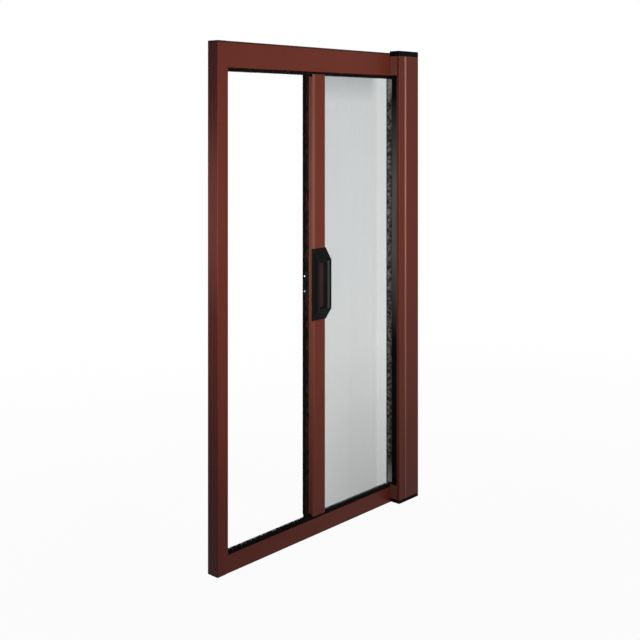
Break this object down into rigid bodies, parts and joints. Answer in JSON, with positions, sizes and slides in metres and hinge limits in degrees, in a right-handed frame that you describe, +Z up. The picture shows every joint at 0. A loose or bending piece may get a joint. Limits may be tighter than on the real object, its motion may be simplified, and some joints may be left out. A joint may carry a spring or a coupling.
{
  "type": "retractable screen door",
  "caption": "Side-rolling insect screen door: strike jamb, head and sill tracks, a sliding pull bar with handle and latch, mesh, and a roller cassette.",
  "frame": {"origin": "on the sill rail's underside, midway across the door and midway through the frame's depth", "axes": "+Z up, the front with the handle faces -Y, +X from the strike jamb to the cassette"},
  "size_m": [1.2, 0.114, 2.058],
  "materials": {
    "powder_coat": "satin red-brown powder coat",
    "cassette_coat": "satin red-brown powder coat",
    "black_plastic": "black moulded plastic",
    "black_rubber": "black flexible magnetic strip",
    "black_pile": "black woven pile weatherstrip",
    "grey_pile": "grey-brown woven pile weatherstrip",
    "bright_steel": "bright plated steel",
    "dark_steel": "dark passivated steel",
    "bare_aluminium": "mill-finish aluminium tube",
    "grey_mesh": "coated glass-fibre insect mesh"
  },
  "bodies": {
    "frame": {"strike_jamb": "powder_coat", "jamb_cap_bottom": "black_plastic", "jamb_cap_top": "black_plastic", "strike_channel": "powder_coat", "strike_strip_lower": "black_rubber", "strike_strip_upper": "black_rubber", "strike_keeper": "bright_steel", "sill_rail": "powder_coat", "sill_brush_front": "black_pile", "sill_brush_back": "black_pile", "head_rail": "powder_coat", "head_brush_front": "black_pile", "head_brush_back": "black_pile", "cassette_body": "cassette_coat", "cassette_cover": "cassette_coat", "cassette_cap_bottom": "black_plastic", "cassette_cap_top": "black_plastic", "mouth_carrier_front": "black_plastic", "mouth_carrier_back": "black_plastic", "mouth_pile_front": "grey_pile", "mouth_pile_back": "grey_pile", "roller_tube": "bare_aluminium", "mesh_roll": "grey_mesh", "roller_hub_bottom": "black_plastic", "roller_hub_top": "black_plastic", "screen_mesh": "grey_mesh"},
    "pull_bar": {"pull_bar": "powder_coat", "bar_cap_bottom": "black_plastic", "bar_cap_top": "black_plastic", "guide_shoe_bottom": "black_plastic", "guide_shoe_top": "black_plastic", "closing_strip_lower": "black_rubber", "closing_strip_upper": "black_rubber", "mesh_clip": "black_plastic", "latch_plate": "dark_steel", "latch_case": "black_plastic", "latch_hook": "bright_steel", "handle": "black_plastic"}
  },
  "joints": [
    {"name": "pull_bar_slide", "type": "slide", "parent": "frame", "child": "pull_bar", "axis": [1, 0, 0], "range_m": [-0.47, 0.43], "deforming": ["screen_mesh"]}
  ]
}
